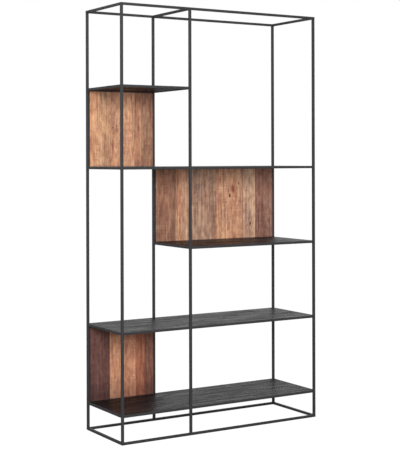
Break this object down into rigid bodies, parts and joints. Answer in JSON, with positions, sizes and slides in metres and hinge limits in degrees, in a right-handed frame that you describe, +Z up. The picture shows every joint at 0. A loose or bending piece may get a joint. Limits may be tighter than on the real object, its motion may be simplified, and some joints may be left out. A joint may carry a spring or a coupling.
{
  "type": "open bookcase",
  "caption": "Tall open bookcase: a slender black square-tube frame with dark wooden boards let into its rails and wooden back panels closing some compartments.",
  "frame": {"origin": "on the floor, in the middle of the footprint", "axes": "+Z up, +X to the viewer's right when the open front is faced, +Y to the back"},
  "size_m": [1.2, 0.4, 2.2],
  "materials": {
    "steel_black": "satin powder coat",
    "board_black": "black stain, satin",
    "panel_wood": "matt oil",
    "screw_black": "blackened steel"
  },
  "bodies": {
    "frame": {"back_panel_lower_left": "panel_wood", "back_panel_middle_right": "panel_wood", "back_panel_upper_left": "panel_wood", "base_rail_back": "steel_black", "base_rail_front": "steel_black", "base_rail_left": "steel_black", "base_rail_right": "steel_black", "post_back_left": "steel_black", "post_back_middle": "steel_black", "post_back_right": "steel_black", "post_front_left": "steel_black", "post_front_middle": "steel_black", "post_front_right": "steel_black", "screw_lower_left_bottom": "screw_black", "screw_lower_left_top": "screw_black", "screw_middle_right_bottom_left": "screw_black", "screw_middle_right_bottom_right": "screw_black", "screw_middle_right_top_left": "screw_black", "screw_middle_right_top_right": "screw_black", "screw_upper_left_bottom": "screw_black", "screw_upper_left_top": "screw_black", "shelf_1_bearer": "steel_black", "shelf_1_rail_back_left": "steel_black", "shelf_1_rail_back_right": "steel_black", "shelf_1_rail_front_left": "steel_black", "shelf_1_rail_front_right": "steel_black", "shelf_1_rail_left": "steel_black", "shelf_1_rail_right": "steel_black", "shelf_2_bearer": "steel_black", "shelf_2_rail_back_left": "steel_black", "shelf_2_rail_back_right": "steel_black", "shelf_2_rail_front_left": "steel_black", "shelf_2_rail_front_right": "steel_black", "shelf_2_rail_left": "steel_black", "shelf_2_rail_right": "steel_black", "shelf_3_rail_back": "steel_black", "shelf_3_rail_front": "steel_black", "shelf_3_rail_left": "steel_black", "shelf_3_rail_right": "steel_black", "shelf_4_bearer": "steel_black", "shelf_4_rail_back_left": "steel_black", "shelf_4_rail_back_right": "steel_black", "shelf_4_rail_front_left": "steel_black", "shelf_4_rail_front_right": "steel_black", "shelf_4_rail_left": "steel_black", "shelf_4_rail_right": "steel_black", "shelf_5_rail_back": "steel_black", "shelf_5_rail_front": "steel_black", "shelf_5_rail_left": "steel_black", "shelf_5_rail_right": "steel_black", "top_rail_back": "steel_black", "top_rail_front": "steel_black", "top_rail_left": "steel_black", "top_rail_middle": "steel_black", "top_rail_right": "steel_black"},
    "shelf_1_board": {"shelf_1_board": "board_black"},
    "shelf_2_board": {"shelf_2_board": "board_black"},
    "shelf_3_board": {"shelf_3_board": "board_black"},
    "shelf_4_board": {"shelf_4_board": "board_black"},
    "shelf_5_board": {"shelf_5_board": "board_black"}
  },
  "joints": [
    {"name": "shelf_1_board_lift", "type": "slide", "parent": "frame", "child": "shelf_1_board", "axis": [0, 0, 1], "range_m": [0, 0.39]},
    {"name": "shelf_2_board_lift", "type": "slide", "parent": "frame", "child": "shelf_2_board", "axis": [0, 0, 1], "range_m": [0, 0.39]},
    {"name": "shelf_3_board_lift", "type": "slide", "parent": "frame", "child": "shelf_3_board", "axis": [0, 0, 1], "range_m": [0, 0.39]},
    {"name": "shelf_4_board_lift", "type": "slide", "parent": "frame", "child": "shelf_4_board", "axis": [0, 0, 1], "range_m": [0, 0.39]},
    {"name": "shelf_5_board_lift", "type": "slide", "parent": "frame", "child": "shelf_5_board", "axis": [0, 0, 1], "range_m": [0, 0.39]}
  ]
}
